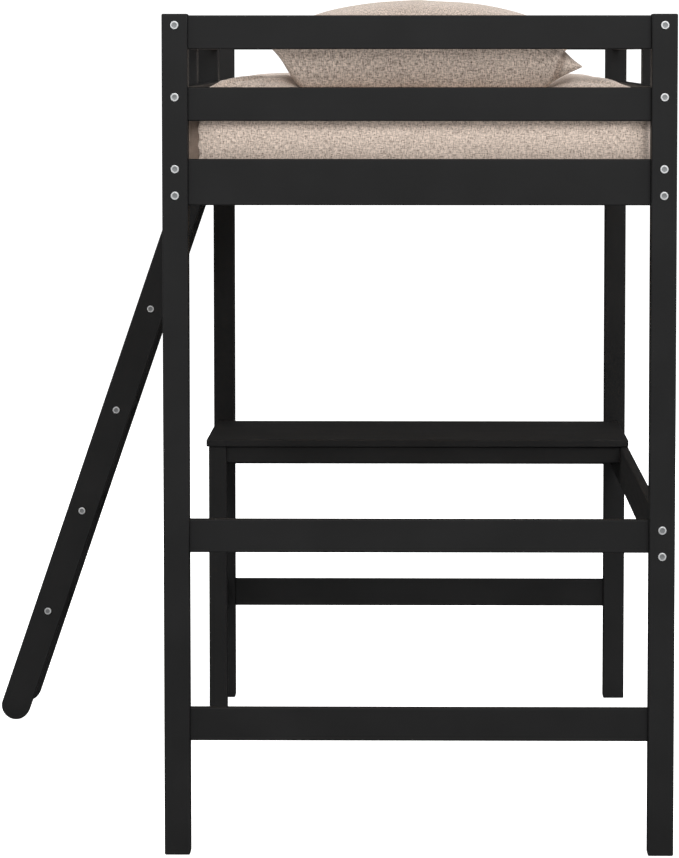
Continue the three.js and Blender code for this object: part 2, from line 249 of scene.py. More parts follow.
def pine_grain_group():
    """Planed pine: drawn-out growth lines and slow colour change along the board."""
    tree, given, out = node_group(
        "pine_grain", [("Grain Vector", "Vector", None), ("Vector", "Vector", None)],
        [("Color", "Color"), ("Roughness", "Float"), ("Normal", "Vector")])
    net = Net(tree)
    drift = net.noise(given["Grain Vector"], scale=0.7, detail=2.0)
    lines = net.noise(given["Grain Vector"], scale=3.2, detail=6.0, roughness=0.6)
    rings = net.math("PINGPONG", net.math("MULTIPLY", lines, 7.0), 0.5)
    dark_line = net.remap(rings, (0.05, 0.4), (0.0, 1.0))
    ground = net.mix(drift, PINE_WARM, PINE_PALE)
    net.put(net.mix(net.math("MULTIPLY", dark_line, 0.45), ground, PINE_LINE), out["Color"])
    net.put(net.remap(lines, (0.3, 0.7), (0.5, 0.68)), out["Roughness"])
    bump = net.add("Bump", {"Strength": 0.3, "Distance": 0.3 * MM, "Height": dark_line})
    net.put(bump.outputs["Normal"], out["Normal"])
    return tree


def linen_weave_group():
    """Heathered linen from a cloth map in metres: crossing slubs, dark flecks and the thread relief."""
    tree, given, out = node_group(
        "linen_weave",
        [("Vector", "Vector", None), ("Light", "Color", None), ("Dark", "Color", None),
         ("Heather", "Float", 0.5), ("Thread", "Float", 620.0)],
        [("Color", "Color"), ("Roughness", "Float"), ("Normal", "Vector")])
    net = Net(tree)
    cloth = given["Vector"]
    weft = net.noise(net.stretched(cloth, WEFT_SLUBS), scale=1.0, detail=2.0, roughness=0.55)
    warp = net.noise(net.stretched(cloth, WARP_SLUBS), scale=1.0, detail=2.0, roughness=0.55)
    flecks = net.noise(net.stretched(cloth, FLECKS), scale=1.0, detail=2.0, roughness=0.6)
    clouds = net.noise(cloth, scale=9.0, detail=2.0)
    threads = net.math("MULTIPLY", net.math("ADD", weft, warp), 0.5)
    slub = net.remap(threads, (0.38, 0.60), (1.0, 0.0))
    fleck = net.remap(flecks, (0.55, 0.70), (0.0, 1.0))
    shade = net.math("ADD", net.math("MULTIPLY", slub, 0.62), net.math("MULTIPLY", fleck, 0.5))
    shade = net.math("ADD", shade, net.remap(clouds, (0.35, 0.65), (-0.025, 0.025)))
    factor = net.math("MULTIPLY", shade, given["Heather"], clamp=True)
    net.put(net.mix(factor, given["Light"], given["Dark"]), out["Color"])
    net.put(net.remap(threads, (0.35, 0.65), (0.95, 0.78)), out["Roughness"])
    split = net.add("SeparateXYZ", {"Vector": cloth}).outputs
    turns = net.math("MULTIPLY", given["Thread"], FULL_TURN)
    crossways = net.math("SINE", net.math("MULTIPLY", split["X"], turns))
    lengthways = net.math("SINE", net.math("MULTIPLY", split["Y"], turns))
    crossings = net.math("MULTIPLY", crossways, lengthways)
    relief = net.math("ADD", net.math("MULTIPLY", crossings, 0.25), threads)
    bump = net.add("Bump", {"Strength": 0.55, "Distance": 0.7 * MM, "Height": relief})
    net.put(bump.outputs["Normal"], out["Normal"])
    return tree


# ------------------------------------------------------------------ materials

# Features per metre along and across the grain.
PAINT_GRAIN = (5.0, 150.0)
PINE_GRAIN = (1.4, 26.0)
# Dull colour, bright colour and mean roughness.
ZINC_PLATE = ((0.84, 0.85, 0.86, 1), (0.95, 0.96, 0.97, 1), 0.46)
# A darker copy of the zinc, painted as shade in the heads' dished faces and sockets.
ZINC_RECESS_PAINTED_SHADE = ((0.30, 0.31, 0.315, 1), (0.42, 0.43, 0.44, 1), 0.5)
ZINC_SCRATCHES = (900, 40, 900)
# Darker linen, light and dark thread, painted as shade on the tucked-back strip beside the near left post.
TUCK_PAINTED_SHADE = ((0.33, 0.25, 0.20), (0.10, 0.07, 0.055))
MATTRESS_HEATHER = 1.0
TUCK_PAINTED_SHADE_HEATHER = 0.3
PILLOW_HEATHER = 1.15


def connect_finish(net, shader, outputs):
    net.put(outputs["Color"], shader.inputs["Base Color"])
    net.put(outputs["Roughness"], shader.inputs["Roughness"])
    net.put(outputs["Normal"], shader.inputs["Normal"])


def grain_vector(net, axis, grain, turn=0.0):
    """Object coordinates drawn out along a board's grain; turn leans the grain about Y."""
    vector = object_coordinates(net)
    if turn:
        turned = net.add("VectorRotate", {"Vector": vector, "Angle": turn}, rotation_type="Y_AXIS")
        vector = turned.outputs[0]
    lengthways, across = grain
    scale = [across] * 3
    scale[axis] = lengthways
    return net.stretched(vector, scale)


def paint_material(name, axis, group, settings, turn=0.0):
    material, net, shader = new_material(name, Specular_IOR_Level=0.2)
    connect_finish(net, shader, use_group(net, group, {
        "Grain Vector": grain_vector(net, axis, PAINT_GRAIN, turn),
        "Vector": object_coordinates(net),
        "Color": (*settings.color, 1),
        "Roughness": settings.roughness,
    }))
    return material


def pine_material(name, axis, group):
    material, net, shader = new_material(name, Specular_IOR_Level=0.35)
    connect_finish(net, shader, use_group(net, group, {
        "Grain Vector": grain_vector(net, axis, PINE_GRAIN),
        "Vector": object_coordinates(net),
    }))
    return material


def zinc_material(name, dull, bright, roughness):
    """Zinc plate with a soft milky bloom and fine scratches."""
    material, net, shader = new_material(name, Metallic=0.75)
    vector = object_coordinates(net)
    bloom = net.noise(vector, scale=60.0, detail=3.0)
    scratches = net.noise(net.stretched(vector, ZINC_SCRATCHES), scale=1.0, detail=2.0)
    net.put(net.mix(bloom, dull, bright), shader.inputs["Base Color"])
    spread = (roughness - 0.08, roughness + 0.08)
    net.put(net.remap(bloom, (0.3, 0.7), spread), shader.inputs["Roughness"])
    bump = net.add("Bump", {"Strength": 0.12, "Distance": 0.1 * MM, "Height": scratches})
    net.put(bump.outputs["Normal"], shader.inputs["Normal"])
    return material


def linen_material(name, group, light, dark, heather):
    material, net, shader = new_material(
        name, Specular_IOR_Level=0.2, Sheen_Weight=0.12, Sheen_Roughness=0.5)
    uv = net.add("UVMap", uv_map="cloth").outputs["UV"]
    connect_finish(net, shader, use_group(net, group, {
        "Vector": uv,
        "Light": (*light, 1),
        "Dark": (*dark, 1),
        "Heather": heather,
    }))
    return material


def linen_group():
    """The linen's shared node group, built when it is first asked for."""
    return bpy.data.node_groups.get("linen_weave") or linen_weave_group()


# ------------------------------------------------------------------ mesh helpers

def mesh_object(name, bm, material, smooth=True):
    """Finishes a bmesh as an object at the origin."""
    mesh = bpy.data.meshes.new(name)
    bm.to_mesh(mesh)
    bm.free()
    mesh.materials.append(material)
    for polygon in mesh.polygons:
        polygon.use_smooth = smooth
    piece = bpy.data.objects.new(name, mesh)
    bpy.context.scene.collection.objects.link(piece)
    return piece


def shade_smooth(piece):
    for polygon in piece.data.polygons:
        polygon.use_smooth = True


def apply_modifiers(piece):
    depsgraph = bpy.context.evaluated_depsgraph_get()
    made = bpy.data.meshes.new_from_object(piece.evaluated_get(depsgraph))
    piece.modifiers.clear()
    piece.data = made
    return piece


def subdivided(piece, levels):
    subdivision = piece.modifiers.new("Subdivision", "SUBSURF")
    subdivision.levels = subdivision.render_levels = levels
    return apply_modifiers(piece)


def unique(items):
    """The items once each, always in the same order."""
    return list(dict.fromkeys(items))


def simulate_cloth(piece, pressure, frames, cap, shrink=0.0):
    """Blows a closed mesh up as cloth with no gravity; no point moves further than cap."""
    rest = [vertex.co.copy() for vertex in piece.data.vertices]
    cloth = piece.modifiers.new("Cloth", "CLOTH").settings
    cloth.quality = 5
    cloth.bending_stiffness = 0.5
    cloth.shrink_min = shrink
    cloth.use_pressure = True
    cloth.uniform_pressure_force = pressure
    cloth.effector_weights.gravity = 0
    scene = bpy.context.scene
    for number in range(1, frames + 1):
        scene.frame_set(number)
    apply_modifiers(piece)
    scene.frame_set(1)
    for vertex, start in zip(piece.data.vertices, rest):
        move = vertex.co - start
        if move.length > cap:
            vertex.co = start + move.normalized() * cap
    return piece


def smoothed(value):
    """A smooth step from 0 to 1."""
    t = min(max(value, 0.0), 1.0)
    return t * t * (3 - 2 * t)


def bell(distance, width):
    return math.exp(-(distance / width) ** 2)


# ------------------------------------------------------------------ painted and pine boards

WELD_DISTANCE = 0.02 * MM
ARRIS_SEGMENTS = 2
ARRIS_ANGLE = math.radians(30)
HOOK_ARRIS = 0.5 * MM


def longest_axis(name):
    low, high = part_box(name)
    size = high - low
    return max(range(3), key=lambda axis: size[axis])


def round_edges(piece, radius):
    """Merges the loose triangles of a board and rounds its arrises."""
    weld = piece.modifiers.new("Weld", "WELD")
    weld.merge_threshold = WELD_DISTANCE
    bevel = piece.modifiers.new("Arris", "BEVEL")
    bevel.width = radius
    bevel.segments = ARRIS_SEGMENTS
    bevel.limit_method = "ANGLE"
    bevel.angle_limit = ARRIS_ANGLE


def finish_node(name, material, radius):
    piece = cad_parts[name]
    piece.data.materials.clear()
    piece.data.materials.append(material)
    round_edges(piece, radius)


class LOFTBED_OT_painted_frame(bpy.types.Operator):
    """Paint the posts, rails, desk and ladder"""

    bl_idname = "loftbed.painted_frame"
    bl_label = "Painted frame"

    def execute(self, context):
        settings = context.scene.loft_bed_paint
        group = paint_film_group()
        paints = [paint_material(f"paint_grain_{letter}", axis, group, settings)
                  for axis, letter in enumerate("xyz")]
        leaning = paint_material("paint_grain_leaning", 2, group, settings, -LADDER_LEAN)
        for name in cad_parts:
            if name in PINE_NODES + STEEL_NODES + SOFT_NODES:
                continue
            material = leaning if "stringer" in name else paints[longest_axis(name)]
            finish_node(name, material, settings.edge)
        return {"FINISHED"}


class LOFTBED_OT_pine_deck(bpy.types.Operator):
    """Finish the slats and ledgers in planed pine"""

    bl_idname = "loftbed.pine_deck"
    bl_label = "Pine deck"

    def execute(self, context):
        group = pine_grain_group()
        pines = [pine_material(f"pine_grain_{letter}", axis, group) for axis, letter in enumerate("xy")]
        for name in PINE_NODES:
            finish_node(name, pines[longest_axis(name)], context.scene.loft_bed_paint.edge)
        return {"FINISHED"}


# ------------------------------------------------------------------ bolts and screws

HEX_SIDES = 6
ROUND_SIDES = 24
HEAD_RISE = 0.13  # of its diameter
# A head from its seat to the floor of its socket: sides, share of the radius, share of the rise.
HEAD_PROFILE = [
    (ROUND_SIDES, 1.0, 0.0),
    (ROUND_SIDES, 1.0, 0.6),
    (ROUND_SIDES, 0.96, 0.93),
    (ROUND_SIDES, 0.91, 1.0),
    (ROUND_SIDES, 0.64, 1.0),
    (ROUND_SIDES, 0.57, 0.62),
    (HEX_SIDES, 0.36, 0.56),
    (HEX_SIDES, 0.34, 0.24),
]
# Bands from this one to the socket take the darker zinc as painted shade.
FIRST_PAINTED_SHADE_BAND = 4  # of the profile, counted from the seat
NARROW_BOARD = 80 * MM  # a lower board has one bolt in its end
SIDE_BOARD_LENGTH = 0.4  # a side board is longer than this along the bed
SIDE_BOARD_THICKNESS = 25 * MM  # and thinner than this
MEETING_GAP = 1 * MM  # and ends this close to its post
SCREW_OFFSET = 0.25  # from the stile's middle, of its width


def add_ring(bm, sides, radius, height):
    """A circle of vertices and edges about Z."""
    place = Matrix.Translation((0, 0, height))
    made = bmesh.ops.create_circle(bm, segments=sides, radius=radius, matrix=place)
    return unique(edge for vertex in made["verts"] for edge in vertex.link_edges)


def add_head(bm, place, diameter):
    """A flat round head with a raised bright rim and a dished face round a hexagon socket; the face and
    socket get a darker zinc as painted shade.
    """
    head = bmesh.new()
    radius = diameter / 2
    rise = HEAD_RISE * diameter
    rings = [add_ring(head, sides, radius * out, rise * up) for sides, out, up in HEAD_PROFILE]
    # The inner bands and the socket's floor take the darker zinc as painted shade.
    for number, (lower, upper) in enumerate(zip(rings, rings[1:])):
        made = bmesh.ops.bridge_loops(head, edges=lower + upper)
        for face in made["faces"]:
            face.material_index = 1 if number >= FIRST_PAINTED_SHADE_BAND else 0
    for face in bmesh.ops.holes_fill(head, edges=rings[-1], sides=HEX_SIDES)["faces"]:
        face.material_index = 1
    bmesh.ops.holes_fill(head, edges=rings[0], sides=ROUND_SIDES)
    bmesh.ops.recalc_face_normals(head, faces=head.faces)
    bmesh.ops.transform(head, matrix=place, verts=head.verts)
    mesh = bpy.data.meshes.new("head")
    head.to_mesh(mesh)
    head.free()
    bm.from_mesh(mesh)
    bpy.data.meshes.remove(mesh)


def facing(point, direction):
    """The matrix that stands a head on a surface at point, looking along direction."""
    return Matrix.Translation(point) @ direction.to_track_quat("Z", "Y").to_matrix().to_4x4()


def bolt_heights(name, settings):
    """Heights of the bolts through a board's end: one on a narrow board, two on a wide one."""
    low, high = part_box(name)
    if high.z - low.z < NARROW_BOARD:
        return [high.z - settings.edge_distance]
    return [high.z - settings.edge_distance, low.z + settings.edge_distance]


def end_bolts(post, settings):
    """Places of the bolts that hold the side boards which meet this post."""
    low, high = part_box(post)
    outward, face_y = (-Y, low.y) if "near" in post else (Y, high.y)
    places = []
    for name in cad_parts:
        board_low, board_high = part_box(name)
        size = board_high - board_low
        centre_x = (board_low.x + board_high.x) / 2
        side_board = size.y > SIDE_BOARD_LENGTH and size.x < SIDE_BOARD_THICKNESS and "ledger" not in name
        meets = min(abs(board_low.y - high.y), abs(board_high.y - low.y)) < MEETING_GAP
        if side_board and meets and low.x < centre_x < high.x:
            for z in bolt_heights(name, settings):
                places.append(facing(Vector((centre_x, face_y, z)), outward))
    return places


def guard_post_bolts(settings):
    """Bolts through the guard post's back into the guard rails and its side into the bed rail."""
    low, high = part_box("ladder_guard_post")
    places = []
    for name in ("left_top_guard_rail", "left_mid_guard_rail"):
        board_low, board_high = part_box(name)
        centre_x = (board_low.x + board_high.x) / 2
        places.append(facing(Vector((centre_x, high.y, board_high.z - settings.edge_distance)), Y))
    for z in bolt_heights("left_bed_rail", settings):
        places.append(facing(Vector((low.x, (low.y + high.y) / 2, z)), -X))
    return places


def ladder_bolts(end):
    """Bolts through a stringer into the ends of the treads."""
    low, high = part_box(f"ladder_stringer_{end}")
    outward, face_y = (-Y, low.y) if end == "near" else (Y, high.y)
    places = []
    for name in sorted(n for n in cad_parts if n.startswith("ladder_tread")):
        tread_low, tread_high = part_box(name)
        middle = (tread_low + tread_high) / 2
        places.append(facing(Vector((middle.x, face_y, middle.z)), outward))
    return places


def stile_screws(side, settings):
    """Two screws through the stile into each rail that it crosses."""
    low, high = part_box(f"{side}_guard_stile")
    outward, face_x = (-X, low.x) if side == "left" else (X, high.x)
    middle, offset = (low.y + high.y) / 2, (high.y - low.y) * SCREW_OFFSET
    places = []
    for rail in ("top_guard_rail", "mid_guard_rail", "bed_rail"):
        rail_low, rail_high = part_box(f"{side}_{rail}")
        z = (rail_low.z + rail_high.z) / 2
        for y in (middle - offset, middle + offset):
            places.append(facing(Vector((face_x, y, z)), outward))
    return places


def heads_piece(name, places, diameter, body, zinc_and_painted_shade):
    """One piece of like heads that rides on a body; its two materials are the rim's zinc and the darker
    zinc painted as shade in the recess.
    """
    bm = bmesh.new()
    for place in places:
        add_head(bm, place, diameter)
    piece = mesh_object(name, bm, zinc_and_painted_shade[0], smooth=False)
    piece.data.materials.append(zinc_and_painted_shade[1])
    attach(piece, body)


class LOFTBED_OT_hardware(bpy.types.Operator):
    """Make the bolt and screw heads and plate the ladder's hooks"""

    bl_idname = "loftbed.hardware"
    bl_label = "Bolts, screws and hooks"

    def execute(self, context):
        settings = context.scene.loft_bed_hardware
        # The second zinc is a darker copy, painted as shade in the heads' recesses.
        zinc_and_painted_shade = (zinc_material("zinc_plate", *ZINC_PLATE), zinc_material("zinc_recess_painted_shade", *ZINC_RECESS_PAINTED_SHADE))
        for name in STEEL_NODES:
            finish_node(name, zinc_and_painted_shade[0], HOOK_ARRIS)
        for post in POSTS:
            places = end_bolts(post, settings)
            heads_piece(f"{post}_bolts", places, settings.bolt_head, "frame", zinc_and_painted_shade)
        places = guard_post_bolts(settings)
        heads_piece("guard_post_bolts", places, settings.bolt_head, "frame", zinc_and_painted_shade)
        for end in ("near", "far"):
            heads_piece(f"ladder_{end}_bolts", ladder_bolts(end), settings.bolt_head, "ladder", zinc_and_painted_shade)
        for side in ("left", "right"):
            places = stile_screws(side, settings)
            heads_piece(f"{side}_stile_screws", places, settings.screw_head, "frame", zinc_and_painted_shade)
        return {"FINISHED"}


# ------------------------------------------------------------------ mattress

MATTRESS_VOXEL = 15 * MM
MATTRESS_CORNER = 26 * MM
MATTRESS_ROUND = 22 * MM
MATTRESS_SIMULATION = {"pressure": 3.0, "frames": 12, "cap": 5 * MM}
SIDE_FALL = 24 * MM
RIGHT_FALL_WIDTH = 105 * MM
# The left side's fall is this wide where the cover is firm, and this much wider where it is slack.
LEFT_FALL_FIRM = 20 * MM
LEFT_FALL_SLACK = 75 * MM
LEFT_FALL_REACH = 1.1
# Height, inset from the outline and width of the rim's roll and of the groove inside it.
RIM_ROLL = (4 * MM, 16 * MM, 12 * MM)
RIM_GROOVE = (3 * MM, 52 * MM, 16 * MM)
TOP_WAVES = 2.2 * MM
END_WAVES = 1.6 * MM
# The ridge beside a fold: share of the fold's depth, and distance in widths of the fold.
FOLD_LIP = 0.45
FOLD_LIP_AWAY = 1.6
# Folds in millimetres: the corner they leave (-1 is left or near, 1 is right or far), the insets of
# their start and end from it, their depth and their width.
FOLDS = [
    ((-1, -1), (55, 12), (190, 110), 17, 11),
    ((-1, -1), (45, 60), (110, 260), 4, 12),
    ((1, -1), (50, 15), (160, 90), 5, 10),
    ((-1, 1), (40, 30), (200, 150), 5, 12),
    ((1, 1), (40, 40), (170, 190), 5, 12),
]
# The hollow under the pillow: its depth, then inset from the pillow's box and width of its slopes.
HOLLOW_DEPTH = 13 * MM
HOLLOW_LEFT = (30 * MM, 60 * MM)
HOLLOW_RIGHT = (20 * MM, 70 * MM)
HOLLOW_BACK = (-20 * MM, 90 * MM)
# How far the cover may pass the mattress's solid, and how it clears the posts.
END_LIMIT = 2.5 * MM
SIDE_LIMIT = 6 * MM
POST_CLEARANCE = 2.5 * MM
PUCKER_DEPTH = 1.2 * MM
PUCKER_PITCH = 19 * MM
# The fold beside the near left post, measured from the mattress's left, near and lower limits.
TUCK_WIDTH = 25 * MM
TUCK_DEPTH = 26 * MM
TUCK_REACH = 45 * MM
TUCK_SLOPE = 40 * MM
TUCK_CUT = 0.8 * MM
TUCK_EDGE = 1.2 * MM
TUCK_HEIGHTS = (25 * MM, 175 * MM)
TUCK_FADE = 20 * MM
# Heights over the mattress's foot between which the tucked-back strip is painted with the darker linen as
# shade.
TUCK_PAINTED_SHADE_HEIGHTS = (30 * MM, 165 * MM)
SCALLOP_DEPTH = 2.2 * MM
SCALLOP_PITCH = 34 * MM
SCALLOP_WANDER = 1.2 * MM
CUT_DISTANCE = 0.01 * MM


def box_map(piece):
    """A cloth map in metres, laid on each face from the axis that it faces most."""
    bm = bmesh.new()
    bm.from_mesh(piece.data)
    layer = bm.loops.layers.uv.new("cloth")
    for face in bm.faces:
        facing_axis = max(range(3), key=lambda axis: abs(face.normal[axis]))
        first, second = ((1, 2), (0, 2), (0, 1))[facing_axis]
        for loop in face.loops:
            loop[layer].uv = (loop.vert.co[first], loop.vert.co[second])
    bm.to_mesh(piece.data)
    bm.free()


def soften(bm, edges, offset, segments):
    bmesh.ops.bevel(bm, geom=edges, offset=offset, segments=segments, profile=0.5, affect="EDGES",
                    material=-1)


def mattress_blank(low, high, material):
    """A block with rounded upright corners and softened edges, remeshed evenly for the simulation."""
    bm = bmesh.new()
    size, middle = high - low, (low + high) / 2
    bmesh.ops.create_cube(bm, size=1, matrix=Matrix.Translation(middle) @ Matrix.Diagonal((*size, 1)))
    upright = [edge for edge in bm.edges
               if abs((edge.verts[0].co - edge.verts[1].co).z) > size.z / 2]
    soften(bm, upright, MATTRESS_CORNER, 5)
    rims = [edge for edge in bm.edges
            if len({abs(face.normal.z) > 0.5 for face in edge.link_faces}) == 2]
    soften(bm, rims, MATTRESS_ROUND, 4)
    piece = mesh_object("mattress_cover", bm, material)
    remesh = piece.modifiers.new("Remesh", "REMESH")
    remesh.mode = "VOXEL"
    remesh.voxel_size = MATTRESS_VOXEL
    remesh.use_smooth_shade = True
    return apply_modifiers(piece)


def crown_height(u, v, crown):
    """Rise of the mattress top; u and v run from -1 to 1 across and along it."""
    return crown * (1 - abs(u) ** 5) * (1 - abs(v) ** 8)


def side_fall(x, high):
    """The cover falls away more gently towards the right side than towards the left."""
    start = high.x - RIGHT_FALL_WIDTH
    return SIDE_FALL * max(0.0, (x - start) / (high.x - start)) ** 2.2


def left_fall(co, low):
    """The left side is slack at the near end and firms up along the bed."""
    width = LEFT_FALL_FIRM + LEFT_FALL_SLACK * smoothed(1 - (co.y - low.y) / LEFT_FALL_REACH)
    return SIDE_FALL * max(0.0, 1 - (co.x - low.x) / width) ** 1.5


def ridge(distance, shape):
    """Height of a soft ridge; shape is its height, its place and its width."""
    height, place, width = shape
    return height * bell(distance - place, width)


def wrinkle(point, start, end, depth, width):
    """Depth of a long fold between two points, fading at its ends."""
    line = end - start
    along = (point - start).dot(line) / line.length_squared
    if not -0.1 < along < 1.1:
        return 0.0
    nearest = start + line * min(max(along, 0), 1)
    fade = smoothed(along / 0.25 + 0.1) * smoothed((1 - along) / 0.35 + 0.1)
    away = (point - nearest).length
    return depth * fade * (bell(away, width) - FOLD_LIP * bell(away - FOLD_LIP_AWAY * width, width))


def inset_point(low, high, corner, inset):
    """The point that lies inside a corner of the mattress by an inset in millimetres."""
    x = low.x + inset[0] * MM if corner[0] < 0 else high.x - inset[0] * MM
    y = low.y + inset[1] * MM if corner[1] < 0 else high.y - inset[1] * MM
    return Vector((x, y))


def cover_folds(low, high):
    """The folds of the cover, each as its start, end, depth and width."""
    return [(inset_point(low, high, corner, start), inset_point(low, high, corner, end),
             depth * MM, width * MM) for corner, start, end, depth, width in FOLDS]


def pillow_hollow(point, low, high):
    """1 where the pillow between low and high presses on the mattress, 0 well away from it."""
    left = smoothed((point.x - low.x - HOLLOW_LEFT[0]) / HOLLOW_LEFT[1])
    right = smoothed((high.x - HOLLOW_RIGHT[0] - point.x) / HOLLOW_RIGHT[1])
    back = smoothed((high.y - HOLLOW_BACK[0] - point.y) / HOLLOW_BACK[1])
    return left * right * back


def settle_mattress(piece, low, high, crown):
    """Crowns the top, rolls its rim, creases its corners and sinks the hollow under the pillow."""
    middle, half = (low + high) / 2, (high - low) / 2
    folds = cover_folds(low, high)
    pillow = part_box("pillow")
    for vertex in piece.data.vertices:
        co = vertex.co
        u, v = (co.x - middle.x) / half.x, (co.y - middle.y) / half.y
        top = smoothed((co.z - middle.z) / half.z)
        flat = Vector((co.x, co.y))
        inset = min(half.x * (1 - abs(u)), half.y * (1 - abs(v)))
        roll = ridge(inset, RIM_ROLL) - ridge(inset, RIM_GROOVE)
        waves = TOP_WAVES * noise.noise(Vector((co.x * 7, co.y * 5, 3.1))) * smoothed(inset / 0.1)
        dents = sum(wrinkle(flat, *fold) for fold in folds)
        swell = crown_height(u, v, crown) + roll + waves - dents - side_fall(co.x, high)
        pressed = pillow_hollow(co, *pillow)
        co.z += top * (swell * (1 - pressed) - HOLLOW_DEPTH * pressed - left_fall(co, low))
        face_wave = END_WAVES * noise.noise(Vector((co.x * 9, co.z * 16, co.y * 9)))
        edge_on = 1 - top * smoothed(inset / 0.03)
        co.y += face_wave * edge_on * (1 if v > 0 else -1)


def press_round_posts(piece, low, high):
    """Holds the cover within its limits and pushes it out of the corner posts, with puckers."""
    middle = (low + high) / 2
    posts = [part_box(name) for name in POSTS]
    for vertex in piece.data.vertices:
        co = vertex.co
        co.y = min(max(co.y, low.y - END_LIMIT), high.y + END_LIMIT)
        co.x = min(max(co.x, low.x - SIDE_LIMIT), high.x + SIDE_LIMIT)
        for post_low, post_high in posts:
            reach_x = min(co.x - post_low.x, post_high.x - co.x) + POST_CLEARANCE
            reach_y = min(co.y - post_low.y, post_high.y - co.y) + POST_CLEARANCE
            if reach_x <= 0 or reach_y <= 0:
                continue
            wave = math.sin(co.z * 2 * math.pi / PUCKER_PITCH + 5 * noise.noise(co * 9))
            pucker = PUCKER_DEPTH * wave
            if reach_x < reach_y:
                inward = -1 if post_low.x > middle.x else 1
                co.x += inward * (reach_x + pucker + PUCKER_DEPTH)
            else:
                inward = 1 if post_low.y < middle.y else -1
                co.y += inward * (reach_y + pucker + PUCKER_DEPTH)


def cut_end(bm, x, back):
    """Cuts the faces nearer than back along an upright plane at x."""
    faces = [face for face in bm.faces if min(v.co.y for v in face.verts) < back
             and min(v.co.x for v in face.verts) < x < max(v.co.x for v in face.verts)]
    edges = unique(edge for face in faces for edge in face.edges)
    verts = unique(vertex for face in faces for vertex in face.verts)
    bmesh.ops.bisect_plane(bm, geom=faces + edges + verts, dist=CUT_DISTANCE,
                           plane_co=(x, 0, 0), plane_no=(1, 0, 0))


def scallop(z):
    """Sideways wave of the end panel's gathered edge."""
    even = SCALLOP_DEPTH * math.sin(z * 2 * math.pi / SCALLOP_PITCH)
    return even + SCALLOP_WANDER * noise.noise(Vector((0, 0, z * 60)))


def tuck_corner(piece, low):
    """Folds the cover back beside the near left post, behind the wavy edge of its end panel, and paints
    the tucked-back strip with a darker linen as painted shade.
    """
    edge_x, back = low.x + TUCK_WIDTH, low.y + TUCK_REACH
    bm = bmesh.new()
    bm.from_mesh(piece.data)
    for x in (edge_x - TUCK_CUT, edge_x + TUCK_CUT):
        cut_end(bm, x, back)
    inner = set()
    for vertex in bm.verts:
        co = vertex.co
        if co.y > back or co.x > edge_x + TUCK_EDGE:
            continue
        foot = smoothed((co.z - low.z - TUCK_HEIGHTS[0]) / TUCK_FADE)
        part = foot * smoothed((low.z + TUCK_HEIGHTS[1] - co.z) / TUCK_FADE)
        if co.x < edge_x:
            inner.add(vertex)
            co.y += TUCK_DEPTH * part * smoothed((back - co.y) / TUCK_SLOPE)
        if abs(co.x - edge_x) < TUCK_EDGE:
            co.x += scallop(co.z) * part
    # Painted shade: the tucked-back strip between these heights takes the darker linen.
    for face in bm.faces:
        height = face.calc_center_median().z - low.z
        if inner.issuperset(face.verts) and TUCK_PAINTED_SHADE_HEIGHTS[0] < height < TUCK_PAINTED_SHADE_HEIGHTS[1]:
            face.material_index = 1
    bm.to_mesh(piece.data)
    bm.free()


class LOFTBED_OT_mattress(bpy.types.Operator):
    """Make the linen-covered mattress"""

    bl_idname = "loftbed.mattress"
    bl_label = "Mattress"

    def execute(self, context):
        settings = context.scene.loft_bed_bedding
        low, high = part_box("mattress")
        linen = linen_material("mattress_linen", linen_group(), settings.linen, settings.linen_dark,
                               MATTRESS_HEATHER)
        # The darker linen is painted shade for the tucked-back strip beside the near left post.
        tuck_painted_shade = linen_material("mattress_tuck_painted_shade", linen_group(), *TUCK_PAINTED_SHADE, TUCK_PAINTED_SHADE_HEATHER)
        piece = mattress_blank(low, high, linen)
        simulate_cloth(piece, **MATTRESS_SIMULATION)
        subdivided(piece, 1)
        settle_mattress(piece, low, high, settings.crown)
        press_round_posts(piece, low, high)
        piece.data.materials.append(tuck_painted_shade)
        tuck_corner(piece, low)
        box_map(piece)
        shade_smooth(piece)
        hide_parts("mattress")
        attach(piece, "mattress")
        return {"FINISHED"}


# ------------------------------------------------------------------ pillow

PILLOW_CELLS = (64, 46)
PILLOW_CUT = (0.80, 0.56)
PILLOW_SIMULATION = {"pressure": 4.0, "frames": 20, "cap": 10 * MM, "shrink": -0.02}
# Half profiles from the middle to the seam: (place on the cloth, reach outwards, thickness).
PILLOW_OVER = [
    (0, 0, 1),
    (0.3, 0.33, 0.93),
    (0.55, 0.60, 0.78),
    (0.75, 0.81, 0.545),
    (0.9, 0.935, 0.27),
    (1, 1, 0),
]
PILLOW_UNDER = [
    (0, 0, 1),
    (0.35, 0.40, 1),
    (0.66, 0.72, 0.99),
    (0.76, 0.81, 0.92),
    (0.88, 0.905, 0.5),
    (1, 1, 0),
]
# Places are measured from the left, near and lower limits of the pillow's solid.
PILLOW_MIDDLE = 324 * MM
PILLOW_SEAM = 81 * MM
PILLOW_REACH = 307 * MM
PILLOW_TOP_MARGIN = 8 * MM
PILLOW_TOP_PASS = 3 * MM
PILLOW_SINK = 9 * MM
# How far the case's corners are drawn out, and how far its far side is drawn in.
LEFT_CORNERS = 16 * MM
NEAR_RIGHT_CORNER = 42 * MM
FAR_RIGHT_CORNER = 30 * MM
FAR_SIDE_INSET = 12 * MM
# The droop of the near right corner: its depth, then where on the cloth it starts and how far it runs.
DROOP = 47 * MM
DROOP_ACROSS = (0.66, 0.34)
DROOP_ALONG = (0.30, 0.70)
# The crease of the ear: top and foot, reach from the near side and slope, then its ridges' height,
# place and width.
EAR_TOP = (629 * MM, 84 * MM)
EAR_FOOT = (606 * MM, 2 * MM)
EAR_REACH = 150 * MM
EAR_SLOPE = 60 * MM
EAR_CREASE = (14 * MM, 0, 5 * MM)
EAR_LIP = (4 * MM, 12 * MM, 8 * MM)
SIDE_DENTS = 1.6 * MM
TOP_DENTS = 1.8 * MM
TOP_DENTS_FROM = 40 * MM


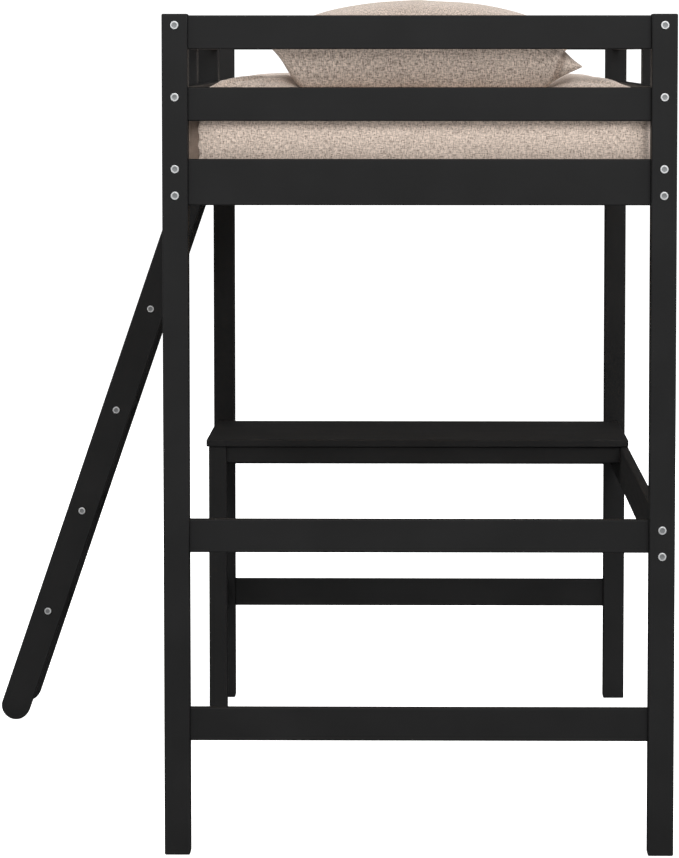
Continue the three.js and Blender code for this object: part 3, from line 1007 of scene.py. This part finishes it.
def along(profile, place, column):
    """Reads one column of a half profile, with a smooth curve through its points."""
    place = min(abs(place), 1.0)
    last = len(profile) - 1
    step = next(i for i in range(last) if place <= profile[i + 1][0] or i == last - 1)
    start, end = profile[step], profile[step + 1]
    before = profile[max(step - 1, 0)]
    after = profile[min(step + 2, last)]
    span = end[0] - start[0]
    t = (place - start[0]) / span
    leave = (end[column] - before[column]) / (end[0] - before[0]) * span
    arrive = (after[column] - start[column]) / (after[0] - start[0]) * span
    first = start[column] * (2 * t ** 3 - 3 * t ** 2 + 1) + leave * (t ** 3 - 2 * t ** 2 + t)
    return first + end[column] * (3 * t ** 2 - 2 * t ** 3) + arrive * (t ** 3 - t ** 2)


def reach(profile, place, other):
    """Reach outwards along one direction; both panels agree where the other direction meets the seam."""
    shared = (along(PILLOW_OVER, place, 1) + along(PILLOW_UNDER, place, 1)) / 2
    own = along(profile, place, 1)
    return math.copysign(own + (shared - own) * other ** 6, place)


def pillow_point(s, t, side, low, high):
    """Where a point of the cloth lies; s and t run from -1 to 1 over a panel."""
    profile = PILLOW_OVER if side > 0 else PILLOW_UNDER
    body = Vector((low.x + PILLOW_MIDDLE, (low.y + high.y) / 2, low.z + PILLOW_SEAM))
    right_corner = NEAR_RIGHT_CORNER if t < 0 else FAR_RIGHT_CORNER
    corner = abs(s) ** 3 * abs(t) ** 3
    reach_x = PILLOW_REACH + corner * (LEFT_CORNERS if s < 0 else right_corner)
    reach_y = (high.y - low.y) / 2 - (0 if t < 0 else FAR_SIDE_INSET * (1 - abs(s) ** 3))
    across = smoothed((s - DROOP_ACROSS[0]) / DROOP_ACROSS[1])
    droop = across * smoothed((-t - DROOP_ALONG[0]) / DROOP_ALONG[1])
    rise = (high.z - PILLOW_TOP_MARGIN if side > 0 else low.z - PILLOW_SINK) - body.z
    x = body.x + reach_x * reach(profile, s, t)
    y = body.y + reach_y * reach(profile, t, s)
    thick_s, thick_t = along(profile, s, 2), along(profile, t, 2)
    thick = thick_s * thick_t / max(thick_s + thick_t - thick_s * thick_t, 1e-6)
    z = body.z + rise * thick - DROOP * droop
    return Vector((x, y, z))


def pillow_blank(low, high, material):
    """Two panels sewn round their edge, with the cloth map of the flat cut."""
    bm = bmesh.new()
    layer = bm.loops.layers.uv.new("cloth")
    width, depth = PILLOW_CUT
    columns, rows = PILLOW_CELLS
    for side in (1, -1):
        made = bmesh.ops.create_grid(bm, x_segments=columns, y_segments=rows, size=1)
        faces = unique(face for vertex in made["verts"] for face in vertex.link_faces)
        for face in faces:
            for loop in face.loops:
                loop[layer].uv = (loop.vert.co.x * width / 2 + side, loop.vert.co.y * depth / 2)
        for vertex in made["verts"]:
            vertex.co = pillow_point(vertex.co.x, vertex.co.y, side, low, high)
        if side < 0:
            bmesh.ops.reverse_faces(bm, faces=faces)
    bmesh.ops.remove_doubles(bm, verts=bm.verts, dist=CUT_DISTANCE)
    return mesh_object("pillow_case", bm, material)


def rest_pillow(piece, low, high):
    """Scales the upper half to its height, limits the underside and keeps the case off the end rails."""
    seam = low.z + PILLOW_SEAM
    top = max(vertex.co.z for vertex in piece.data.vertices)
    for vertex in piece.data.vertices:
        co = vertex.co
        if co.z > seam:
            co.z = seam + (co.z - seam) * (high.z + PILLOW_TOP_PASS - seam) / (top - seam)
        co.z = max(co.z, low.z - PILLOW_SINK)
        co.y = max(co.y, low.y)


def fold_ear(piece, low):
    """Creases the case where its right-hand corner is drawn out into an ear, and dents it softly."""
    top = Vector((low.x + EAR_TOP[0], low.z + EAR_TOP[1]))
    foot = Vector((low.x + EAR_FOOT[0], low.z + EAR_FOOT[1]))
    line = foot - top
    for vertex in piece.data.vertices:
        co = vertex.co
        near = smoothed((low.y + EAR_REACH - co.y) / EAR_SLOPE)
        point = Vector((co.x, co.z))
        place = min(max((point - top).dot(line) / line.length_squared, 0), 1)
        away = (point - top - line * place).length
        co.y += near * (ridge(away, EAR_CREASE) - ridge(away, EAR_LIP))
        co.y += SIDE_DENTS * noise.noise(Vector((co.x * 14, co.y * 14, co.z * 22))) * near
        if co.z > low.z + TOP_DENTS_FROM:
            co.z += TOP_DENTS * noise.noise(Vector((co.x * 10, co.y * 10, 4.7)))


class LOFTBED_OT_pillow(bpy.types.Operator):
    """Make the plump linen pillow"""

    bl_idname = "loftbed.pillow"
    bl_label = "Pillow"

    def execute(self, context):
        settings = context.scene.loft_bed_bedding
        low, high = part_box("pillow")
        linen = linen_material("pillow_linen", linen_group(), settings.linen, settings.linen_dark,
                               PILLOW_HEATHER)
        piece = pillow_blank(low, high, linen)
        simulate_cloth(piece, **PILLOW_SIMULATION)
        rest_pillow(piece, low, high)
        subdivided(piece, 2)
        fold_ear(piece, low)
        shade_smooth(piece)
        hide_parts("pillow")
        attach(piece, "pillow")
        return {"FINISHED"}


# ------------------------------------------------------------------ stage

WHITE = (1, 1, 1, 1)
FLOOR_SIZE = 300
FLOOR_COLOUR = (0.8, 0.8, 0.8, 1)
FLOOR_COLOUR_IN_GLOSS = (0.02, 0.02, 0.02, 1)
FLOOR_GLOW = 0.9
WORLD_FILL = 0.44
WORLD_FILL_LOST_IN_GLOSS = 0.41
BACKDROP = 1.2
# Places of the lights across the bed from its middle, along it and above the floor.
TARGET = (0.0, 0.0, 1.0)
KEY_PLACE = (1.0, -8.0, 6.2)  # along the bed from its near end
KEY_SIZE = (7.0, 5.0)
LIGHT_SIZE = (5.0, 3.0)
# Name, place, share of the key's power, and whether it shows in the gloss.
LIGHTS = [
    ("top", (0.0, 0.0, 8.0), 0.03, False),
    ("back", (0.0, 6.5, 5.0), 0.60, False),
    ("left", (-7.0, 0.0, 4.0), 0.36, True),
    ("right", (7.0, 0.0, 4.0), 0.45, True),
]
CAMERA_SHIFT = (-0.04, -0.12)
CAMERA_OFFSET = 1.5 * MM  # to the right of the bed's middle
CAMERA_CLIP = 200


def white_floor():
    """A pale studio floor, evenly white to the eye, that lights the object softly from below."""
    bm = bmesh.new()
    bmesh.ops.create_grid(bm, x_segments=1, y_segments=1, size=FLOOR_SIZE)
    material, net, shader = new_material("studio_floor", Roughness=0.9, Specular_IOR_Level=0.0)
    shader.inputs["Emission Color"].default_value = WHITE
    path = net.add("LightPath").outputs
    colour = net.mix(path["Is Glossy Ray"], FLOOR_COLOUR, FLOOR_COLOUR_IN_GLOSS)
    net.put(colour, shader.inputs["Base Color"])
    glow = net.math("MULTIPLY", path["Is Camera Ray"], FLOOR_GLOW)
    net.put(glow, shader.inputs["Emission Strength"])
    mesh_object("studio_floor", bm, material)


def white_world(scene):
    """A surround that the camera sees as white, that fills softly and hardly shows in the gloss."""
    world = bpy.data.worlds.new("studio")
    scene.world = world
    world.use_nodes = True
    net = Net(world.node_tree)
    surround = world.node_tree.nodes["Background"]
    path = net.add("LightPath").outputs
    fill = net.math("MULTIPLY_ADD", path["Is Glossy Ray"], -WORLD_FILL_LOST_IN_GLOSS)
    fill.node.inputs[2].default_value = WORLD_FILL
    net.put(fill, surround.inputs["Strength"])
    surround.inputs["Color"].default_value = WHITE
    backdrop = net.add("Background", {"Color": WHITE, "Strength": BACKDROP})
    shaders = {0: path["Is Camera Ray"], 1: surround.outputs[0], 2: backdrop.outputs[0]}
    mixed = net.add("MixShader", shaders)
    net.put(mixed.outputs[0], world.node_tree.nodes["World Output"].inputs["Surface"])


def area_light(name, place, target, size, power):
    data = bpy.data.lights.new(name, "AREA")
    data.shape = "RECTANGLE"
    data.size, data.size_y = size
    data.energy = power
    light = bpy.data.objects.new(name, data)
    light.location = place
    light.rotation_euler = (Vector(target) - Vector(place)).to_track_quat("-Z", "Y").to_euler()
    bpy.context.scene.collection.objects.link(light)
    return light


def light_bed(middle_x, near_y, key_power):
    """The key light in front of the near end, and the weaker lights round the bed."""
    target = (middle_x, TARGET[1], TARGET[2])
    place = (middle_x + KEY_PLACE[0], near_y + KEY_PLACE[1], KEY_PLACE[2])
    area_light("key", place, target, KEY_SIZE, key_power)
    for name, (x, y, z), share, in_gloss in LIGHTS:
        light = area_light(name, (middle_x + x, y, z), target, LIGHT_SIZE, key_power * share)
        light.visible_glossy = in_gloss


def place_camera(middle_x, near_y, settings):
    data = bpy.data.cameras.new("camera")
    data.lens = settings.lens
    data.shift_x, data.shift_y = CAMERA_SHIFT
    data.clip_end = CAMERA_CLIP
    camera = bpy.data.objects.new("camera", data)
    camera.location = (middle_x + CAMERA_OFFSET, near_y - settings.distance, settings.height)
    camera.rotation_euler = (math.pi / 2 - settings.tilt, 0, settings.turn)
    scene = bpy.context.scene
    scene.collection.objects.link(camera)
    scene.camera = camera


class LOFTBED_OT_stage(bpy.types.Operator):
    """Set the floor, the light and the camera"""

    bl_idname = "loftbed.stage"
    bl_label = "Stage"

    def execute(self, context):
        settings = context.scene.loft_bed_stage
        context.scene.view_settings.view_transform = "Standard"
        white_floor()
        white_world(context.scene)
        post_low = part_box("post_near_left")[0]
        post_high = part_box("post_near_right")[1]
        middle_x = (post_low.x + post_high.x) / 2
        light_bed(middle_x, post_low.y, settings.key)
        place_camera(middle_x, post_low.y, settings)
        return {"FINISHED"}


# ------------------------------------------------------------------ add-on

OPERATORS = [
    LOFTBED_OT_stage,
    LOFTBED_OT_painted_frame,
    LOFTBED_OT_pine_deck,
    LOFTBED_OT_hardware,
    LOFTBED_OT_mattress,
    LOFTBED_OT_pillow,
]
SETTINGS = {
    "loft_bed_paint": PaintSettings,
    "loft_bed_hardware": HardwareSettings,
    "loft_bed_bedding": BeddingSettings,
    "loft_bed_stage": StageSettings,
}


class LOFTBED_PT_panel(bpy.types.Panel):
    """The loft bed's pieces and settings"""

    bl_label = "Loft Bed"
    bl_idname = "LOFTBED_PT_panel"
    bl_space_type = "VIEW_3D"
    bl_region_type = "UI"
    bl_category = "Loft Bed"

    def draw(self, context):
        for name, group in SETTINGS.items():
            box = self.layout.box()
            for prop in group.__annotations__:
                box.prop(getattr(context.scene, name), prop)
        for operator in OPERATORS:
            self.layout.operator(operator.bl_idname)


def register():
    for group in SETTINGS.values():
        bpy.utils.register_class(group)
    for name, group in SETTINGS.items():
        setattr(bpy.types.Scene, name, PointerProperty(type=group))
    for operator in OPERATORS:
        bpy.utils.register_class(operator)
    bpy.utils.register_class(LOFTBED_PT_panel)


def unregister():
    bpy.utils.unregister_class(LOFTBED_PT_panel)
    for operator in reversed(OPERATORS):
        bpy.utils.unregister_class(operator)
    for name, group in SETTINGS.items():
        delattr(bpy.types.Scene, name)
        bpy.utils.unregister_class(group)


def main():
    register()
    bpy.ops.loftbed.stage()
    bpy.ops.loftbed.painted_frame()
    bpy.ops.loftbed.pine_deck()
    bpy.ops.loftbed.hardware()
    bpy.ops.loftbed.mattress()
    bpy.ops.loftbed.pillow()


if __name__ == "__main__":
    main()
